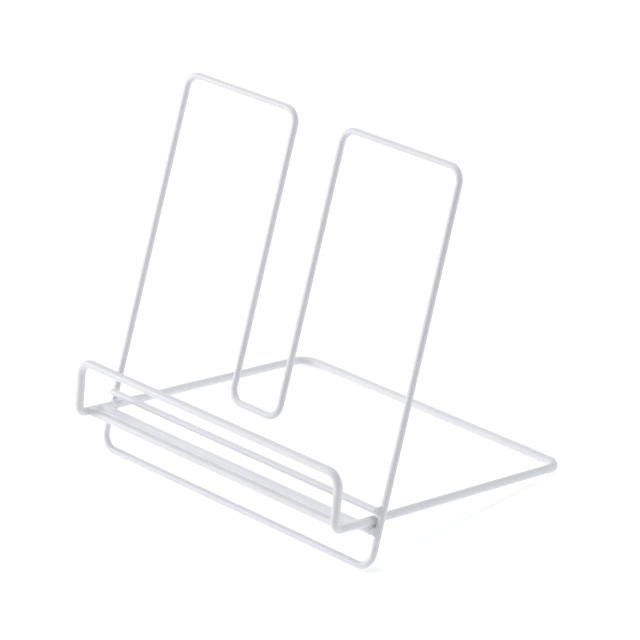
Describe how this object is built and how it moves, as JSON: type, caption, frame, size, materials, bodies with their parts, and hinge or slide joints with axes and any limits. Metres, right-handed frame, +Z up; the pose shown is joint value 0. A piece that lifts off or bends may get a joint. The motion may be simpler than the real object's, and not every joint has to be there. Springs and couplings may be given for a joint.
{
  "type": "cookbook stand",
  "caption": "Welded wire stand: a back rest with an open slot between tall lobes, crossed by a base whose front rises to a shelf with a lip that holds a book open.",
  "frame": {"origin": "on the table, under the middle of the stand's bounding box", "axes": "+X along the shelf to the reader's right, +Y from the lip to the rear bar, +Z up"},
  "size_m": [0.2216, 0.1859, 0.214],
  "materials": {
    "back_rest_loop_coat": "satin white powder coat on steel",
    "upper_cross_bar_coat": "satin white powder coat on steel",
    "lower_cross_bar_coat": "satin white powder coat on steel",
    "base_loop_coat": "satin white powder coat on steel",
    "front_shelf_bar_coat": "satin white powder coat on steel",
    "rear_shelf_bar_coat": "satin white powder coat on steel"
  },
  "bodies": {
    "root": {"back_rest_loop": "back_rest_loop_coat", "upper_cross_bar": "upper_cross_bar_coat", "lower_cross_bar": "lower_cross_bar_coat", "base_loop": "base_loop_coat", "front_shelf_bar": "front_shelf_bar_coat", "rear_shelf_bar": "rear_shelf_bar_coat"}
  },
  "joints": []
}
